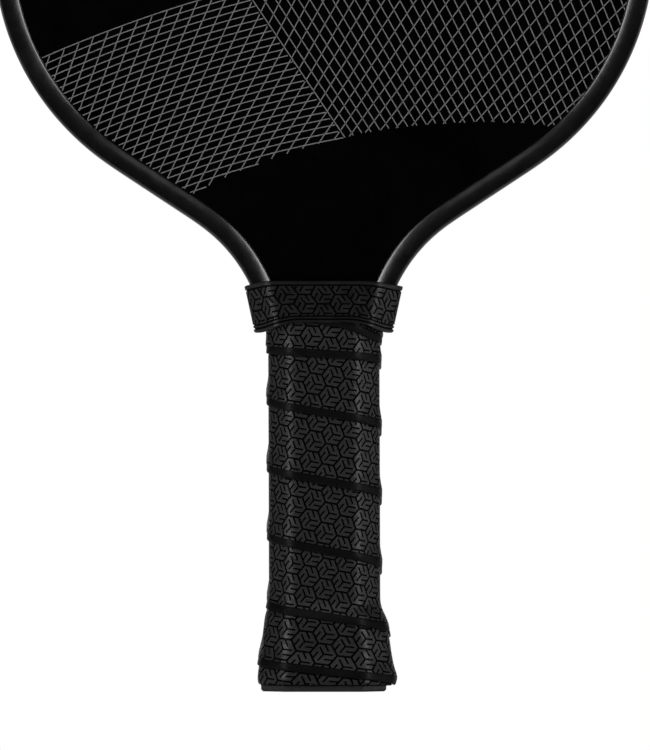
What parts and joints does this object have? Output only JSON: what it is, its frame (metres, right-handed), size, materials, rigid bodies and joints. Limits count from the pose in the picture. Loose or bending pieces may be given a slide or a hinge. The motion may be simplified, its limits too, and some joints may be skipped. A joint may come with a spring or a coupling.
{
  "type": "pickleball paddle",
  "caption": "Pickleball paddle: rounded flat head with a moulded edge guard, octagonal handle wound with embossed grip tape, rubber collar and flared butt.",
  "frame": {"origin": "centre of the butt end, on the cap's flat bottom face", "axes": "+Z from the butt end towards the head, +X to the right across the head, the front face looks along -Y"},
  "size_m": [0.2032, 0.0384, 0.4064],
  "materials": {
    "core_polymer": "translucent milky polypropylene, matte",
    "glue_film": "thin cured film, satin",
    "face_laminate": "black fibre laminate, fine-textured satin, with thin light grey printed lines",
    "guard_plastic": "black moulded elastomer, satin",
    "pallet_plastic": "dense structural foam, matte",
    "cap_plastic": "black moulded plastic, satin",
    "badge_plastic": "blank black disc, soft gloss",
    "staple_steel": "bright drawn wire",
    "grip_polyurethane": "black embossed polyurethane, matte tacky",
    "band_vinyl": "black vinyl tape, low sheen",
    "collar_rubber": "black embossed rubber, matte"
  },
  "bodies": {
    "root": {"honeycomb_core": "core_polymer", "front_bond_film": "glue_film", "rear_bond_film": "glue_film", "front_face_sheet": "face_laminate", "rear_face_sheet": "face_laminate", "edge_guard": "guard_plastic", "edge_guard_adhesive": "glue_film", "front_handle_pallet": "pallet_plastic", "rear_handle_pallet": "pallet_plastic", "front_pallet_adhesive": "glue_film", "rear_pallet_adhesive": "glue_film", "butt_cap": "cap_plastic", "butt_cap_badge": "badge_plastic", "butt_cap_staples": "staple_steel", "grip_adhesive": "glue_film", "grip_tape": "grip_polyurethane", "finishing_tape": "band_vinyl", "grip_collar": "collar_rubber"}
  },
  "joints": []
}
